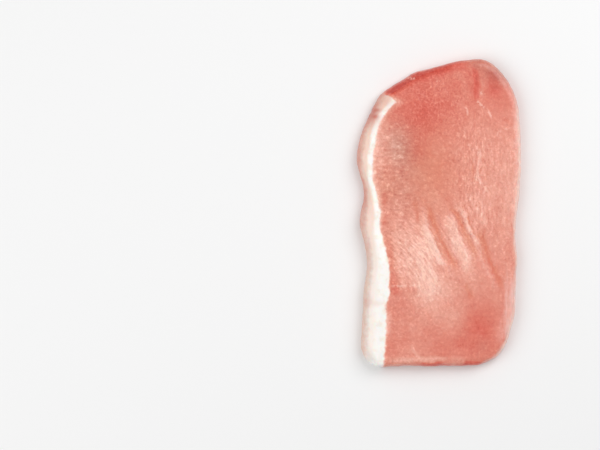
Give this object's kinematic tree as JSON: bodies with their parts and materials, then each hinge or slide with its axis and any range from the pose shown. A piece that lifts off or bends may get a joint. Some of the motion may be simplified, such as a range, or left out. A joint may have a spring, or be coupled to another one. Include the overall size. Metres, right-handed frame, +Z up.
{
  "type": "raw pork chop",
  "caption": "Thin boneless raw pork chop lying flat: an oblong slice of pale pink lean with a cap of white fat along one long side and soft creases across its cut face.",
  "frame": {"origin": "on the table, under the middle of the chop as seen from above", "axes": "+X from the side with the cap of fat to the lean side, +Y from the square foot end to the rounded top end, +Z up through the slice"},
  "size_m": [0.0692, 0.1298, 0.0094],
  "materials": {
    "raw_pork": "satin"
  },
  "bodies": {
    "root": {"pork_chop": "raw_pork"}
  },
  "joints": []
}
